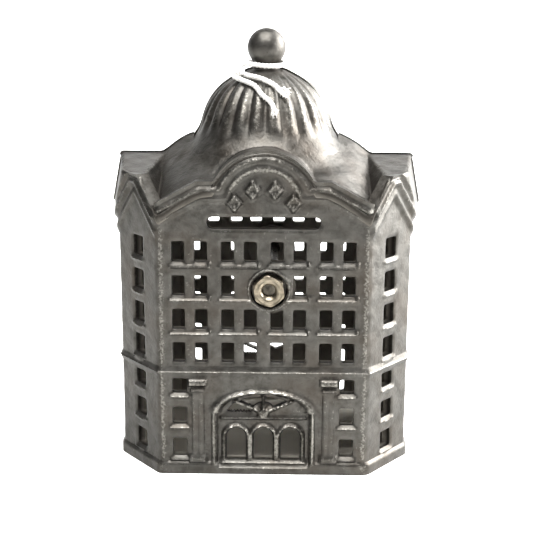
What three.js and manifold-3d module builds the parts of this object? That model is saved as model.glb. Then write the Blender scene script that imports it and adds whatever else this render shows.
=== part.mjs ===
// Cast iron still bank: a domed, eight-sided bank building cast in two half shells,
// which one long screw and a hex nut clamp together.
// Millimetres, +Z up. The slotted front faces -Y, and the halves meet on the plane Y = 0.

import * as THREE from 'three';
import { mergeVertices } from 'three/addons/utils/BufferGeometryUtils.js';
import { ConvexGeometry } from 'three/addons/geometries/ConvexGeometry.js';
import Module from 'manifold-3d';

const wasm = await Module();
wasm.setup();

// ---------------------------------------------------------------- plan of the building
const bodyHalfWidth = 38.2;        // axis to the face of a side wall
const bodyHalfDepth = 26.2;        // seam to the face of a facade
const facadeHalfWidth = 26.9;      // axis to the corner between facade and slanted wall
const cornerDepth = 14.3;          // how far back a slanted wall runs
const wall = 2.5;                  // thickness of the casting
const seamGap = 0.15;              // each half stops this far short of the seam plane
const rearGrowth = 0.4;            // the rear casting came out this much bigger all round

// ---------------------------------------------------------------- heights
const plinthHeight = 3.4;
const plinthProud = 0.8;
const floorThickness = 2.6;
const beltLow = 26.8;
const beltHigh = 29.4;
const beltProud = 0.7;
const eavesHeight = 65.5;          // where the walls meet the underside of the gables
const valleyHeight = 70.0;         // roof at a corner of the facade
const corniceFlat = 75.6;          // level stretch of the facade's cornice
const gableTop = 78.4;             // top of a gable over a slanted wall
const ridgeHeight = 81.5;          // ridge of the wings, at the seam
const hipHeight = 87.4;            // where the roof meets the dome, at the seam
const domeTop = 104.2;
const hipTopX = 18;                // where a hip meets the dome, at the seam
const wingInnerX = 27.4;           // inner edge of a wing's flat top, at the seam
const wingFootX = 20;              // where a wing ends under the middle roof
const eavesProud = 2.2;            // how far the eaves stand out of a side wall
const eavesDrop = 0.8;             // from the valley down to the eaves
const shoulderProud = 0.8;         // the outer shoulder of a wing
const shoulderDrop = 1.3;
const ridgeInset = 1.8;
const vaultBack = -15;             // where the vault behind the arch ends
const overallHeight = 114.3;

// ---------------------------------------------------------------- windows
const windowWidth = 3.34;
const windowHeight = 5.3;
const rowPitch = 8.85;
const topRowTop = 62.5;
const upperRows = 4;
const pairPitch = 12.56;
const windowPitch = 5.78;          // between the two windows of a pair
const lowerRows = [[22.2, 26.1], [13.6, 18.3], [4.8, 9.7]];
const bayWindowWidth = 3.9;
const cornerWindowWidth = 2.9;     // as seen from the front
const sillHeight = 1.3;
const sillProud = 0.55;

// ---------------------------------------------------------------- coin slot and ornaments
const slotHalfLength = 14.4;
const slotLow = 65.7;
const slotHigh = 68.8;
const ornamentSize = 5.0;
const ornamentProud = 0.9;

// ---------------------------------------------------------------- cornice, on the facade
const archRadius = 11.7;
const archCentre = 71.6;
const kneeX = 16.3;                // where the level stretch turns down to the corner
const corniceEndX = 28.3;
const corniceEndZ = 69.1;
const fasciaWidth = 2.35;
const upperFasciaProud = 1.3;
const lowerFasciaProud = 0.65;

// ---------------------------------------------------------------- ground floor
const doorHalfWidth = 2.5;
const doorPitch = 7.1;
const doorSpring = 9.9;
const doorLow = 3.8;
const doorFrame = 1.0;
const portalHalfWidth = 13.6;
const portalSpring = 17.4;
const portalTop = 23.7;
const portalRib = 1.1;
const portalProud = 0.8;
const fanHalfWidth = 10.6;
const fanLow = 16.6;
const fanHigh = 21.4;
const fanSpoke = 1.1;
const transomLow = 14.9;
const pilasterX = 17.2;
const pilasterWidth = 3.2;
const pilasterProud = 0.7;

// ---------------------------------------------------------------- screw, nut, bosses
const boltX = 1.35;                // the boss stands a little off the axis
const boltZ = 50.0;
const screwRadius = 1.95;
const nutAcrossFlats = 7.5;
const nutThickness = 3.2;
const recessClearance = 0.42;      // round the corners of the nut
const recessRim = 0.9;
const boreClearance = 0.2;
const boltHoleClearance = 0.45;
const tipRecess = 1.9;             // the screw ends this far inside the nut
const bossProud = 0.6;
const recessDepth = 1.8;
const bossBacking = 3.0;
const headRadius = 3.6;
const headHeight = 2.4;
const headSlotWidth = 1.2;
const headSlotDepth = 0.8;
const seatGap = 0.2;               // left between pieces that bear on each other

const recessRadius = nutAcrossFlats / Math.sqrt(3) + recessClearance;
const bossRadius = recessRadius + recessRim;
const nutBoreRadius = screwRadius + boreClearance;
const boltHoleRadius = screwRadius + boltHoleClearance;

// ---------------------------------------------------------------- finial
const neckRadius = 3.6;
const ballRadius = 5.05;
const neckGap = 0.3;

// ---------------------------------------------------------------- string
const stringDiameter = 1.2;

// ================================================================ helpers

// The closed mesh of a geometry: positions only, with its shared vertices merged.
function closed(geometry) {
  const copy = geometry.clone();
  copy.deleteAttribute('normal');
  copy.deleteAttribute('uv');
  return mergeVertices(copy, 1e-4);
}

function solid(geometry) {
  const mesh = closed(geometry);
  return new wasm.Manifold(new wasm.Mesh({
    numProp: 3,
    vertProperties: new Float32Array(mesh.getAttribute('position').array),
    triVerts: new Uint32Array(mesh.getIndex().array),
  }));
}

function geometryOf(manifold) {
  const mesh = manifold.getMesh();
  const geometry = new THREE.BufferGeometry();
  geometry.setAttribute('position', new THREE.BufferAttribute(mesh.vertProperties, 3));
  geometry.setIndex(new THREE.BufferAttribute(mesh.triVerts, 1));
  geometry.computeVertexNormals();
  return geometry;
}

// The mirror image of a geometry in X or Y, with its faces still pointing out.
function mirrored(geometry, axis) {
  const copy = closed(geometry);
  copy.scale(axis === 'x' ? -1 : 1, axis === 'y' ? -1 : 1, 1);
  const index = copy.getIndex().array;
  for (let i = 0; i < index.length; i += 3) {
    [index[i], index[i + 1]] = [index[i + 1], index[i]];
  }
  return copy;
}

function shapeOf(points) {
  return new THREE.Shape(points.map(([x, y]) => new THREE.Vector2(x, y)));
}

// An outline in plan, standing from z0 to z1.
function standing(points, z0, z1) {
  const geometry = new THREE.ExtrudeGeometry(shapeOf(points), { depth: z1 - z0, bevelEnabled: false });
  return geometry.translate(0, 0, z0);
}

// An outline in elevation (x, z), from the plane Y = back forward to Y = front.
function facing(points, front, back) {
  const settings = { depth: back - front, bevelEnabled: false };
  const geometry = new THREE.ExtrudeGeometry(shapeOf(points), settings);
  return geometry.rotateX(Math.PI / 2).translate(0, back, 0);
}

function rectangle(x0, x1, z0, z1) {
  return [[x0, z0], [x1, z0], [x1, z1], [x0, z1]];
}

// Points of an arc about (cx, cz), anticlockwise from one angle to the other, in radians.
function arc(cx, cz, rx, rz, from, to, steps) {
  return Array.from({ length: steps + 1 }, (_, i) => {
    const angle = from + (to - from) * i / steps;
    return [cx + rx * Math.cos(angle), cz + rz * Math.sin(angle)];
  });
}

// A round bar along Y.
function bar(radius, front, back, segments = 32) {
  const geometry = new THREE.CylinderGeometry(radius, radius, back - front, segments);
  return geometry.translate(0, (front + back) / 2, 0);
}

// A surface of revolution about +Z from a profile of [radius, z].
function turned(profile, segments) {
  const points = profile.map(([radius, z]) => new THREE.Vector2(radius, z));
  return new THREE.LatheGeometry(points, segments).rotateX(Math.PI / 2);
}

// ================================================================ plan and roof outlines

const cornerRun = bodyHalfWidth - facadeHalfWidth;
const cornerLength = Math.hypot(cornerRun, cornerDepth);
const cornerCos = cornerRun / cornerLength;
const cornerSin = cornerDepth / cornerLength;
const cornerAngle = Math.atan2(cornerDepth, cornerRun);

// Half of the eight-sided plan, moved out by grow, from the seam round the front to the seam.
function planOutline(grow) {
  const frontX = facadeHalfWidth + grow * (1 - cornerCos) / cornerSin;
  const frontY = -bodyHalfDepth - grow;
  const sideX = bodyHalfWidth + grow;
  const sideY = -bodyHalfDepth + cornerDepth - grow * (1 - cornerSin) / cornerCos;
  return [[-sideX, 0], [-sideX, sideY], [-frontX, frontY], [frontX, frontY], [sideX, sideY], [sideX, 0]];
}

// Moves a geometry drawn on the front plane (x from the facade's corner, front at Y = 0)
// onto the slanted wall of one side.
function onSlantedWall(geometry, side) {
  const placed = geometry.rotateZ(cornerAngle).translate(facadeHalfWidth, -bodyHalfDepth, 0);
  return side > 0 ? placed : mirrored(placed, 'x');
}

function slantedPoint(along, out) {
  return [
    facadeHalfWidth + along * cornerCos + out * cornerSin,
    -bodyHalfDepth + along * cornerSin - out * cornerCos,
  ];
}

// The facade's cornice line, lifted off its middle line by lift: down the right slope,
// over the level stretch, up the arch and down again.
function corniceLine(lift) {
  const slope = (corniceFlat - corniceEndZ) / (corniceEndX - kneeX);
  const stretch = Math.hypot(1, slope);
  const knee = kneeX + lift * (stretch - 1) / slope;
  const radius = archRadius + lift;
  const rise = corniceFlat + lift - archCentre;
  const start = Math.asin(rise / radius);
  return [
    [corniceEndX, corniceEndZ + lift * stretch],
    [knee, corniceFlat + lift],
    ...arc(0, archCentre, radius, radius, start, Math.PI - start, 14),
    [-knee, corniceFlat + lift],
    [-corniceEndX, corniceEndZ + lift * stretch],
  ];
}

// The line over a gable on a slanted wall, as [along the wall, z]. It is lowered by a share
// of the two fascias' drop, and its short level top narrows to a point as it goes down.
const gableFlat = [7.4, 11.4];
const gableEnd = cornerLength + 1.6;
const gableDrop = 2 * fasciaWidth * 1.35;
function gableLine(share) {
  const drop = gableDrop * share;
  const pinch = 0.48 * share * (gableFlat[1] - gableFlat[0]);
  return [
    [-0.4, valleyHeight + 0.7 - drop],
    [gableFlat[0] + pinch, gableTop + 0.3 - drop],
    [gableFlat[1] - pinch, gableTop + 0.3 - drop],
    [gableEnd, valleyHeight - 0.6 - drop],
  ];
}

// Roof of one half without its dome, moved out by grow (negative for the hollow inside).
function roofSolids(grow, low) {
  const lift = grow * 1.15;
  const front = -bodyHalfDepth - grow;
  const frontX = facadeHalfWidth + 0.5 * grow;
  const hips = [];
  for (const side of [-1, 1]) {
    hips.push([side * frontX, front, valleyHeight + lift], [side * frontX, front, low]);
    hips.push([side * kneeX, front, corniceFlat + fasciaWidth - eavesDrop + lift]);
    hips.push([side * wingInnerX, 0, ridgeHeight + lift], [side * wingInnerX, 0, low]);
    hips.push([side * hipTopX, 0, hipHeight + lift]);
  }
  const gable = [[frontX, front, valleyHeight + lift], [frontX, front, low]];
  for (const along of gableFlat) {
    gable.push([...slantedPoint(along, grow), gableTop + lift]);
  }
  const eaves = valleyHeight - eavesDrop + lift;
  const side = bodyHalfWidth + grow;
  gable.push([...slantedPoint(cornerLength, grow), low]);
  gable.push([...slantedPoint(cornerLength + shoulderProud, grow + plinthProud), eaves]);
  gable.push([side, 0, low], [side + eavesProud, 0, eaves]);
  gable.push([side + shoulderProud, 0, ridgeHeight - shoulderDrop + lift]);
  gable.push([side - ridgeInset, 0, ridgeHeight + lift], [wingInnerX, 0, ridgeHeight + lift]);
  gable.push([wingFootX, 0, low]);
  const vault = corniceLine(fasciaWidth + grow).slice(2, -2);
  vault.push([vault.at(-1)[0], low], [vault[0][0], low]);
  const hull = (points) => new ConvexGeometry(points.map((p) => new THREE.Vector3(...p)));
  return [
    hull(hips), hull(gable), mirrored(hull(gable), 'x'), facing(vault, front, vaultBack),
  ];
}

// The fluted dome and its skirt; the hollow one inside is plain.
const fluteCount = 24;
const domeProfile = [
  [26, 78], [24, 80], [20.6, 84], [18.6, 86.6], [17.2, 89], [16.4, 91], [15.6, 93.4],
  [14.4, 96], [12.4, 98.6], [9.6, 100.7], [7, 102.3], [5.3, 103.5],
];

function dome(grow, fluted) {
  const profile = domeProfile.map(([radius, z]) => [Math.max(radius + grow, 0.5), z + grow]);
  const low = profile[0][1];
  const geometry = turned([[0, low], ...profile, [0, domeTop + grow]], fluted ? fluteCount * 3 : 36);
  if (!fluted) {
    return geometry;
  }
  const position = geometry.getAttribute('position');
  for (let i = 0; i < position.count; i += 1) {
    const x = position.getX(i);
    const y = position.getY(i);
    const z = position.getZ(i);
    const third = Math.round(Math.atan2(y, x) / (2 * Math.PI) * fluteCount * 3);
    const fade = THREE.MathUtils.smoothstep(z, 84, 90) * (1 - THREE.MathUtils.smoothstep(z, 101.5, 103.4));
    const scale = third % 3 === 0 ? 1 - 0.05 * fade : 1;
    position.setXY(i, x * scale, y * scale);
  }
  return geometry;
}

// ================================================================ half shells

const windowColumns = [];
for (const pair of [-1.5, -0.5, 0.5, 1.5]) {
  windowColumns.push(pair * pairPitch - windowPitch / 2, pair * pairPitch + windowPitch / 2);
}
const windowRows = Array.from({ length: upperRows }, (_, row) => {
  const top = topRowTop - row * rowPitch;
  return [top - windowHeight, top];
});
const bayX = windowColumns.at(-1);
const cutFront = -bodyHalfDepth - 6;
const cutBack = -bodyHalfDepth + wall + bossBacking + 1;

// Whether a window would break into the round recess of the nut.
function meetsRecess(x, low, high) {
  const dx = Math.max(Math.abs(x - boltX) - windowWidth / 2, 0);
  const dz = Math.max(low - boltZ, boltZ - high, 0);
  return Math.hypot(dx, dz) < recessRadius;
}

function upperWindows() {
  const cuts = [];
  for (const [low, high] of windowRows) {
    for (const x of windowColumns) {
      if (!meetsRecess(x, low, high)) {
        const outline = rectangle(x - windowWidth / 2, x + windowWidth / 2, low, high);
        cuts.push(facing(outline, cutFront, cutBack));
      }
    }
  }
  return cuts;
}

function bayWindows() {
  return lowerRows.flatMap(([low, high]) => [-1, 1].map((side) => {
    const centre = side * bayX;
    const outline = rectangle(centre - bayWindowWidth / 2, centre + bayWindowWidth / 2, low, high);
    return facing(outline, cutFront, cutBack);
  }));
}

function slantedWindows() {
  const [centre] = slantedPoint(cornerLength / 2, 0);
  const back = -bodyHalfDepth + cornerDepth + 2;
  return [...windowRows, ...lowerRows].flatMap(([low, high]) => [-1, 1].map((side) => {
    const x = side * centre;
    const outline = rectangle(x - cornerWindowWidth / 2, x + cornerWindowWidth / 2, low, high);
    return facing(outline, cutFront, back);
  }));
}

function doors() {
  return [-1, 0, 1].map((place) => {
    const x = place * doorPitch;
    const top = arc(x, doorSpring, doorHalfWidth, doorHalfWidth, 0, Math.PI, 10);
    return facing([[x - doorHalfWidth, doorLow], [x + doorHalfWidth, doorLow], ...top], cutFront, cutBack);
  });
}

// The openings of the fanlight: four wedges of a half ellipse between spokes.
function fanOpenings() {
  const wedges = 4;
  const margin = 0.14;
  return Array.from({ length: wedges }, (_, i) => {
    const from = Math.PI * (i + margin) / wedges;
    const to = Math.PI * (i + 1 - margin) / wedges;
    const middle = (from + to) / 2;
    const rise = fanHigh - fanLow;
    const outer = arc(0, fanLow, fanHalfWidth, rise, from, to, 4);
    const inner = [2.6 * Math.cos(middle), fanLow + 0.4 + 1.4 * Math.sin(middle)];
    return facing([inner, ...outer], cutFront, cutBack);
  });
}

function coinSlot() {
  const half = (slotHigh - slotLow) / 2;
  const centre = (slotHigh + slotLow) / 2;
  const reach = slotHalfLength - half;
  const right = arc(reach, centre, half, half, -Math.PI / 2, Math.PI / 2, 8);
  const left = arc(-reach, centre, half, half, Math.PI / 2, 3 * Math.PI / 2, 8);
  return facing([...right, ...left], cutFront, cutBack);
}

const face = -bodyHalfDepth;
const sink = 0.4;                  // relief is rooted this deep in the wall

function relief(outline, proud) {
  return facing(outline, face - proud, face + sink);
}

function upperSills() {
  const half = pairPitch / 2 - 0.8;
  return windowRows.slice(0, -1).flatMap(([low]) => [-1.5, -0.5, 0.5, 1.5].map((pair) => {
    const x = pair * pairPitch;
    return relief(rectangle(x - half, x + half, low - 0.6 - sillHeight, low - 0.6), sillProud);
  }));
}

function baySills() {
  const half = bayWindowWidth / 2 + 0.9;
  return lowerRows.flatMap(([low]) => [-1, 1].map((side) => {
    const x = side * bayX;
    return relief(rectangle(x - half, x + half, low - 0.3 - sillHeight, low - 0.3), sillProud);
  }));
}

function slantedSills() {
  const half = cornerWindowWidth / cornerCos / 2 + 0.9;
  const middle = cornerLength / 2;
  return [...windowRows, ...lowerRows].flatMap(([low]) => [-1, 1].map((side) => {
    const outline = rectangle(middle - half, middle + half, low - 0.5 - sillHeight, low - 0.5);
    return onSlantedWall(facing(outline, -sillProud, sink), side);
  }));
}

function cornerStrips() {
  const width = 1.8;
  return [-1, 1].map((side) => {
    const inner = side * (facadeHalfWidth - width);
    const outer = side * facadeHalfWidth;
    return relief(rectangle(Math.min(inner, outer), Math.max(inner, outer), 1, 68), 0.4);
  });
}

// A two-step moulding: the lower fascia and the prouder one over it.
function cornice() {
  const band = (high, low) => [...corniceLine(high), ...corniceLine(low).reverse()];
  return [
    relief(band(0.2, -fasciaWidth), lowerFasciaProud),
    relief(band(fasciaWidth, 0), upperFasciaProud),
  ];
}

function gableMouldings() {
  const band = (high, low) => [...gableLine(high), ...gableLine(low).reverse()];
  return [-1, 1].flatMap((side) => [
    onSlantedWall(facing(band(0.46, 1), -lowerFasciaProud, sink), side),
    onSlantedWall(facing(band(0, 0.5), -upperFasciaProud, sink), side),
  ]);
}

function portal() {
  const rise = portalTop - portalSpring;
  const ring = (inset) => {
    const half = portalHalfWidth - inset;
    const over = arc(0, portalSpring, half, rise - inset, 0, Math.PI, 20);
    return [[half, 2], ...over, [-half, 2]];
  };
  const rib = [...ring(0), ...ring(portalRib).reverse()];
  const panels = [relief(rib, portalProud)];
  for (const place of [-1, 0, 1]) {
    const x = place * doorPitch;
    const hoop = (radius) => [
      [x + radius, doorLow - 0.3],
      ...arc(x, doorSpring, radius, radius, 0, Math.PI, 12),
      [x - radius, doorLow - 0.3],
    ];
    panels.push(relief([...hoop(doorHalfWidth + doorFrame), ...hoop(doorHalfWidth + 0.02).reverse()], 0.5));
  }
  panels.push(relief(rectangle(-fanHalfWidth, fanHalfWidth, transomLow, transomLow + fanSpoke), 0.6));
  return panels;
}

function pilasters() {
  return [-1, 1].flatMap((side) => {
    const block = (half, low, high, proud) => {
      const x = side * pilasterX;
      return relief(rectangle(x - half, x + half, low, high), proud);
    };
    const half = pilasterWidth / 2;
    return [
      block(half, 2, 23, pilasterProud - 0.2),
      block(half + 0.7, 22.2, 24.2, pilasterProud),
      block(half + 1.2, 24, 27.2, pilasterProud + 0.2),
      block(half + 0.6, 2, 5.4, pilasterProud + 0.1),
    ];
  });
}

// Four lozenges in an arc over the slot.
function ornaments() {
  const reach = 9.0;
  return [-1.5, -0.5, 0.5, 1.5].map((place) => {
    const angle = place * 0.62;
    const x = reach * Math.sin(angle) * 1.02;
    const z = archCentre - 4.6 + reach * Math.cos(angle);
    const half = ornamentSize / 2;
    return relief([[x - half * 0.8, z], [x, z - half], [x + half * 0.8, z], [x, z + half]], ornamentProud);
  });
}

function atBolt(geometry) {
  return geometry.translate(boltX, 0, boltZ);
}

function joined(geometries) {
  return geometries.map(solid).reduce((sum, next) => sum.add(next));
}

// One half of the casting, drawn as the front one.
function halfShell({ grow, slotted, finial }) {
  const bands = [
    standing(planOutline(grow), 0, eavesHeight + 0.5),
    standing(planOutline(grow + plinthProud), 0, plinthHeight),
    standing(planOutline(grow + beltProud), beltLow, beltHigh),
  ];
  const reliefs = [
    ...upperSills(), ...baySills(), ...slantedSills(), ...cornerStrips(), ...cornice(),
    ...gableMouldings(), ...portal(), ...pilasters(), ...(slotted ? ornaments() : []),
    atBolt(bar(bossRadius, face - bossProud, face + sink)),
  ];
  let body = joined([...bands, ...roofSolids(grow, eavesHeight), dome(grow, true), ...reliefs]);

  const hollow = joined([
    standing(planOutline(-wall), floorThickness, eavesHeight + 0.5),
    ...roofSolids(-wall, eavesHeight - 1),
    dome(-wall, false),
  ]);
  const backing = atBolt(bar(bossRadius + 1.2, face + wall - 0.3, face + wall + bossBacking));
  body = body.subtract(hollow).add(solid(backing));

  const cuts = [...upperWindows(), ...bayWindows(), ...slantedWindows(), ...doors(), ...fanOpenings()];
  cuts.push(atBolt(bar(recessRadius, cutFront, face + recessDepth)));
  cuts.push(atBolt(bar(boltHoleRadius, cutFront, face + wall + bossBacking + 1)));
  if (slotted) {
    cuts.push(coinSlot());
  }
  body = body.subtract(joined(cuts));

  const room = 2 * overallHeight;
  const half = new THREE.BoxGeometry(room, room, room).translate(0, -room / 2 - seamGap, overallHeight / 2);
  body = body.intersect(solid(half));
  if (finial) {
    return geometryOf(body.add(solid(finialGeometry())));
  }
  const notch = new THREE.CylinderGeometry(neckRadius + neckGap, neckRadius + neckGap, 20, 32);
  notch.rotateX(Math.PI / 2).translate(0, 0, domeTop);
  return geometryOf(body.subtract(solid(notch)));
}

// Neck and ball, cast whole on the front half.
function finialGeometry() {
  const centre = overallHeight - ballRadius;
  const from = -Math.acos(neckRadius / ballRadius);
  const ball = arc(0, centre, ballRadius, ballRadius, from, Math.PI / 2, 12).slice(0, -1);
  const neckLow = domeTop - wall - 0.8;
  return turned([[0, neckLow], [neckRadius, neckLow], ...ball, [0, overallHeight]], 36);
}

// ================================================================ screw and nut

const nutBack = face + recessDepth - seatGap;
const nutFront = nutBack - nutThickness;
const headSeat = -face - recessDepth + seatGap;
const screwTip = nutFront + tipRecess;

function clampScrew() {
  const shank = solid(bar(screwRadius, screwTip, headSeat + 0.5, 24));
  const head = solid(bar(headRadius, headSeat, headSeat + headHeight, 32));
  const slotBox = new THREE.BoxGeometry(3 * headRadius, 2 * headSlotDepth, headSlotWidth);
  const slotCut = solid(slotBox.translate(0, headSeat + headHeight, 0));
  return geometryOf(shank.add(head).subtract(slotCut));
}

function hexNut() {
  const corner = nutAcrossFlats / Math.sqrt(3);
  const hexagon = new THREE.CylinderGeometry(corner, corner, nutThickness, 6).rotateY(Math.PI / 6);
  const half = nutThickness / 2;
  const flat = nutAcrossFlats / 2;
  const outer = corner + 0.3;
  const bevel = 0.6;
  const profile = [
    [0, -half], [flat, -half], [outer, -half + bevel], [outer, half - bevel], [flat, half], [0, half],
  ];
  const cone = new THREE.LatheGeometry(profile.map(([r, y]) => new THREE.Vector2(r, y)), 36);
  const bore = bar(nutBoreRadius, -half - 1, half + 1, 24);
  return geometryOf(solid(hexagon).intersect(solid(cone)).subtract(solid(bore)));
}

// ================================================================ string

// From one end up the front of the dome, once round the neck and down to the other end.
const stringPath = [
  [3.9, -13.3, 98.8], [2.6, -12.1, 100.1], [0.5, -10.8, 101.2], [-1.9, -9.5, 102.0],
  [-4.9, -7.5, 102.5], [-6.9, -4.6, 103.1], [-6.5, -1.2, 104.6], [-4.2, 2.2, 105.3],
  [-0.6, 4.7, 105.4], [3.4, 3.3, 105.4], [4.8, -0.4, 105.0], [3.1, -3.7, 104.7],
  [-0.3, -5.0, 104.7], [-3.6, -4.8, 105.1], [-6.3, -5.3, 105.4], [-8.5, -6.2, 104.1],
  [-8.2, -7.9, 102.2], [-6.0, -8.8, 101.3], [-4.3, -10.4, 100.8], [-2.7, -12.0, 100.1],
  [-0.9, -14.2, 98.1], [0.7, -15.1, 96.9], [1.7, -15.6, 95.8], [2.2, -16.0, 94.6],
];

function tagString() {
  const points = stringPath.map(([x, y, z]) => new THREE.Vector3(x, y, z));
  const extrudePath = new THREE.CatmullRomCurve3(points, false, 'centripetal');
  const section = shapeOf(arc(0, 0, stringDiameter / 2, stringDiameter / 2, 0, 1.75 * Math.PI, 7));
  const steps = Math.round(extrudePath.getLength() / (2 * stringDiameter));
  return new THREE.ExtrudeGeometry(section, { steps, extrudePath, bevelEnabled: false });
}

// ================================================================ assembly

function material(color, roughness, metalness) {
  return new THREE.MeshStandardMaterial({ color, roughness, metalness });
}

const castIron = material('#5d5b58', 0.5, 0.9);
const nickelSteel = material('#b3a893', 0.4, 0.9);
const screwSteel = material('#8b857a', 0.5, 0.9);
const cotton = material('#e6e3dc', 0.95, 0);

const bank = new THREE.Group();

function place(name, geometry, finish, parent = bank) {
  const mesh = new THREE.Mesh(geometry, finish);
  mesh.name = name;
  parent.add(mesh);
  return mesh;
}

place('front_shell', halfShell({ grow: 0, slotted: true, finial: true }), castIron);
const rear = halfShell({ grow: rearGrowth, slotted: false, finial: false });
place('rear_shell', mirrored(rear, 'y'), castIron);

const fastening = new THREE.Group();
fastening.position.set(boltX, 0, boltZ);
bank.add(fastening);
place('clamp_screw', clampScrew(), screwSteel, fastening);
place('hex_nut', hexNut(), nickelSteel, fastening).position.y = (nutFront + nutBack) / 2;

place('tag_string', tagString(), cotton);

export default bank;
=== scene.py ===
# %% [markdown]
# # A cast iron still bank
# A money box cast as a small domed bank building. Two half shells of grey iron are clamped
# together by one long screw and a nut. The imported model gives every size; this lesson gives
# each piece the surface of the real casting: soft edges, fluting, worn iron, plated steel and
# cotton string. Lengths are written in millimetres and turned to metres at the last moment.

# %% The frame
import math

import bpy
import numpy as np
from mathutils import Matrix, Vector


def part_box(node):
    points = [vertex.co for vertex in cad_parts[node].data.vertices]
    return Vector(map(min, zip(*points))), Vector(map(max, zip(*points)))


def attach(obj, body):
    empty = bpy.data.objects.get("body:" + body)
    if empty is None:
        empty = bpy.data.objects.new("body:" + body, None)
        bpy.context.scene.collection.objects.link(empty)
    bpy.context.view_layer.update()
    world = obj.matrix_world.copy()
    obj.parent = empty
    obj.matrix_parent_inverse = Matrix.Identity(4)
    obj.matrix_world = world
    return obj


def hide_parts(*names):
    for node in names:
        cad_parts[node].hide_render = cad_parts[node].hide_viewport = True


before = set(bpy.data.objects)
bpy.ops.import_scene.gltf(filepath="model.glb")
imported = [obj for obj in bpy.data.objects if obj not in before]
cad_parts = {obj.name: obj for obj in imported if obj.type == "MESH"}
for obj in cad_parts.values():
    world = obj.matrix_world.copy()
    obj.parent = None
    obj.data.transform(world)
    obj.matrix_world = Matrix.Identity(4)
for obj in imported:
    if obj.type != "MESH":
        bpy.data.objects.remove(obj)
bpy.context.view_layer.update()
MM = 0.001

# %% [markdown]
# ## Camera
# The bank stands on a table and is looked at from just in front and a little above, with a
# normal lens. The camera is set by its place, the way it looks, and a roll of a third of a
# degree, because a camera held by hand is never quite level. An empty target with a constraint
# would do the same, but a matrix says exactly where the camera is.

# %% Camera
def aimed_camera(place, forward, roll_degrees, lens):
    """A camera at place. Its right axis is forward x up turned by the roll about the view line."""
    forward = Vector(forward).normalized()
    level = forward.cross(Vector((0, 0, 1))).normalized()
    upright = level.cross(forward)
    roll = math.radians(roll_degrees)
    right = level * math.cos(roll) + upright * math.sin(roll)
    up = upright * math.cos(roll) - level * math.sin(roll)
    camera = bpy.data.objects.new("camera", bpy.data.cameras.new("camera"))
    camera.data.lens = lens
    camera.data.sensor_width = 36.0
    camera.data.dof.use_dof = False
    camera.matrix_world = Matrix((
        (right.x, up.x, -forward.x, place[0]),
        (right.y, up.y, -forward.y, place[1]),
        (right.z, up.z, -forward.z, place[2]),
        (0, 0, 0, 1),
    ))
    bpy.context.scene.collection.objects.link(camera)
    bpy.context.scene.camera = camera
    return camera


camera = aimed_camera((0.005994, -0.30251, 0.123157), (-0.01097, 0.97002, -0.24277), 0.36, 73.8)
print("camera", [round(v, 4) for v in camera.location])

# %% [markdown]
# ## Tools for making meshes
# Every new piece is a grid of points worked out with numpy as whole arrays. `mesh_piece` puts
# such points and faces into an object, and `grid_faces` joins a grid's neighbours into quads.

# %% Meshes from arrays
def grid_faces(rows, columns, close_rows=False, close_columns=False):
    """Quads of a rows x columns grid: each point with the next in its row and in its column."""
    r = np.arange(rows if close_rows else rows - 1)
    c = np.arange(columns if close_columns else columns - 1)
    r, c = np.meshgrid(r, c, indexing="ij")
    r2, c2 = (r + 1) % rows, (c + 1) % columns
    quads = [r * columns + c, r * columns + c2, r2 * columns + c2, r2 * columns + c]
    return np.stack(quads, axis=-1).reshape(-1, 4)


def mesh_piece(name, points, faces, body, material=None, replaces=(), smooth=40):
    """Makes an object from points in millimetres and lists of quads and triangles."""
    mesh = bpy.data.meshes.new(name)
    flat = [np.asarray(f, np.int32) for f in faces if len(f)]
    mesh.vertices.add(len(points))
    mesh.vertices.foreach_set("co", np.asarray(points, np.float32).ravel() * MM)
    sizes = np.concatenate([np.full(len(f), f.shape[1], np.int32) for f in flat])
    mesh.loops.add(int(sizes.sum()))
    mesh.loops.foreach_set("vertex_index", np.concatenate([f.ravel() for f in flat]))
    mesh.polygons.add(len(sizes))
    mesh.polygons.foreach_set("loop_start", np.concatenate([[0], np.cumsum(sizes)[:-1]]).astype(np.int32))
    mesh.polygons.foreach_set("use_smooth", np.ones(len(sizes), bool))
    mesh.update(calc_edges=True)
    mesh.validate()
    mesh.set_sharp_from_angle(angle=math.radians(smooth))
    piece = bpy.data.objects.new(name, mesh)
    bpy.context.scene.collection.objects.link(piece)
    if material is not None:
        mesh.materials.append(material)
    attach(piece, body)
    if replaces:
        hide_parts(*replaces)
    print(f"{name}: {len(points)} points, {len(sizes)} faces")
    return piece


def smoothstep(x, low, high):
    """0 below low, 1 above high, and 3t^2 - 2t^3 in between."""
    t = np.clip((x - low) / (high - low), 0, 1)
    return t * t * (3 - 2 * t)


print("a grid of 3 x 4 points has", len(grid_faces(3, 4)), "faces")

# %% [markdown]
# ## Colours and nodes
# Colours are written as the hex values a maker would read from a paint chart, and one function
# turns them to the linear values that shaders need. One other function adds any node with its
# settings and links, so a material reads as a short recipe.

# %% Colour and node helpers
def colour(hex_value):
    """Linear colour of an sRGB hex value: ((c + 0.055) / 1.055) ^ 2.4, or c / 12.92 near black."""
    parts = [int(hex_value[i:i + 2], 16) / 255 for i in (0, 2, 4)]
    linear = [((c + 0.055) / 1.055) ** 2.4 if c > 0.04045 else c / 12.92 for c in parts]
    return (*linear, 1.0)


def add_node(tree, kind, settings=(), **inputs):
    """Adds a node, sets its properties, then fills each named input with a value or a link."""
    node = tree.nodes.new(kind)
    for key, value in dict(settings).items():
        setattr(node, key, value)
    for key, value in inputs.items():
        name = key.replace("_", " ")
        socket = node.inputs[int(key[1:])] if key[0] == "n" and key[1:].isdigit() else node.inputs[name]
        if isinstance(value, bpy.types.NodeSocket):
            tree.links.new(value, socket)
        else:
            socket.default_value = value
    return node


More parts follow.
